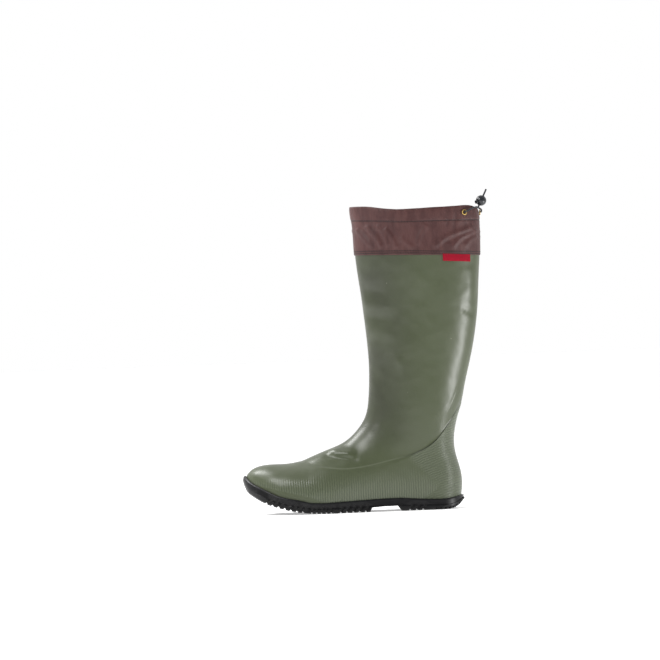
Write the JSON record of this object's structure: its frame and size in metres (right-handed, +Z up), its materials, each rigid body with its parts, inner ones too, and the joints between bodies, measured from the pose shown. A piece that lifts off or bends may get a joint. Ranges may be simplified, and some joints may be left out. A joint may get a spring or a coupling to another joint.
{
  "type": "foldable rain boot",
  "caption": "Left foldable rain boot in green rubber with a black lugged cup sole, a brown drawstring cuff, brass eyelets and a ball cord lock.",
  "frame": {"origin": "on the floor under the middle of the heel, where the heel block's flat face rests", "axes": "+Z up along the shaft, -X towards the toe, -Y towards the boot's outer side"},
  "size_m": [0.3102, 0.1004, 0.3873],
  "materials": {
    "green_rubber": "satin",
    "black_rubber": "matte",
    "grey_footbed": "matte",
    "brown_nylon": "semi-matte woven",
    "brass": "polished",
    "black_cord": "matte braided",
    "black_plastic": "satin",
    "red_tape": "matte woven"
  },
  "bodies": {
    "root": {"outsole": "black_rubber", "upper": "green_rubber", "insole": "grey_footbed", "cuff": "brown_nylon", "eyelet_outer": "brass", "eyelet_back": "brass", "drawcord_outer": "black_cord", "drawcord_back": "black_cord", "cord_lock": "black_plastic", "cord_lock_plunger": "black_plastic", "side_tag": "red_tape"}
  },
  "joints": []
}
